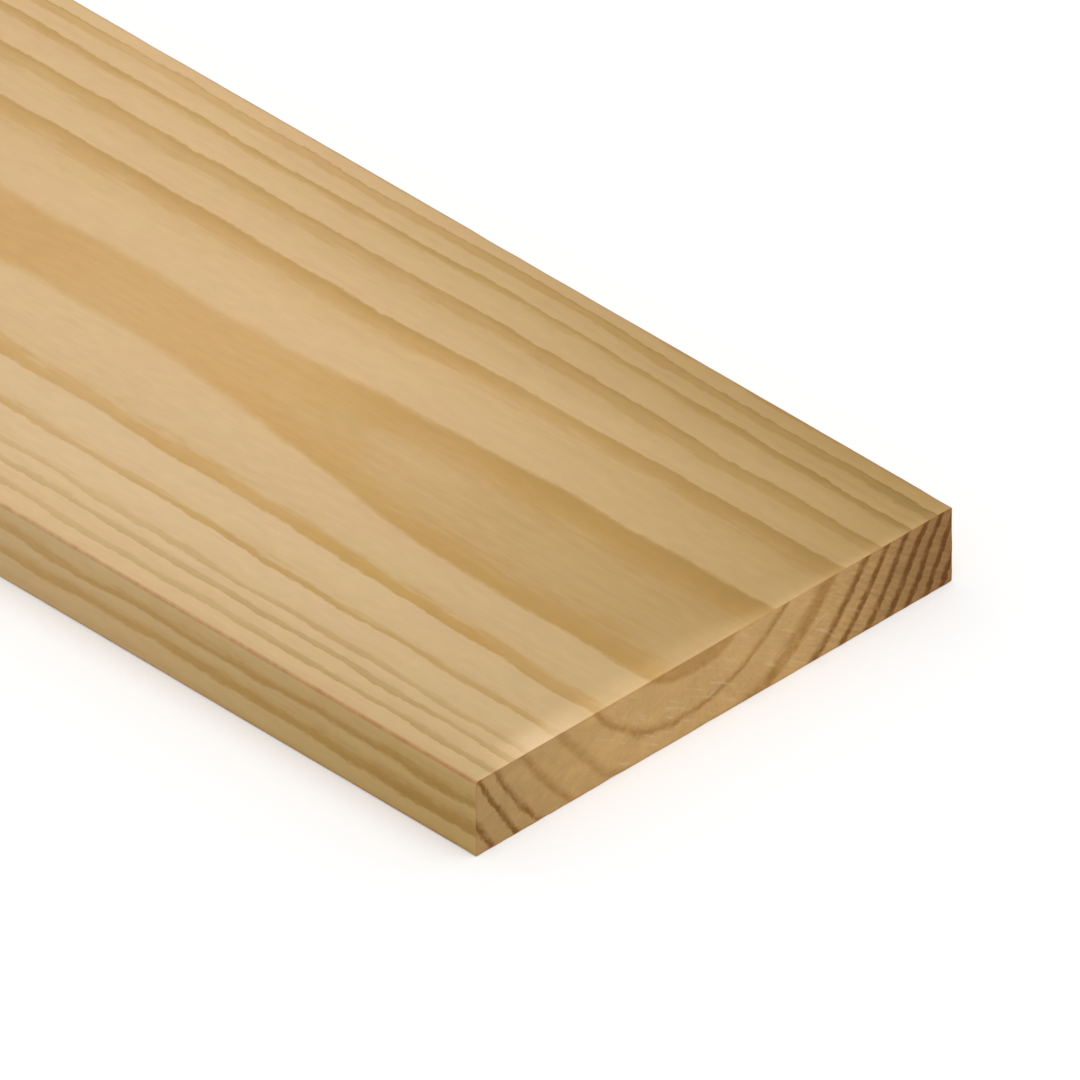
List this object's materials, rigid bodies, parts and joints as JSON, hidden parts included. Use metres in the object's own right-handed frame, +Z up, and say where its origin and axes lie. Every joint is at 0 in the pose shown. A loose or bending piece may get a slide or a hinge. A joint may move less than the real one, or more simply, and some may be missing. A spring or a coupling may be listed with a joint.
{
  "type": "timber plank",
  "caption": "Flat-sawn softwood board, planed all round with eased long arrises and square-cut ends, for boarding, shelving, trim and general joinery.",
  "frame": {"origin": "middle of the plank's outline, on the surface that it lies on", "axes": "+X along the grain, +Y across the width, +Z up through the thickness"},
  "size_m": [1.219, 0.14, 0.019],
  "materials": {
    "planed_softwood": "bare planed softwood, unsealed, with visible growth rings"
  },
  "bodies": {
    "root": {"plank": "planed_softwood"}
  },
  "joints": []
}
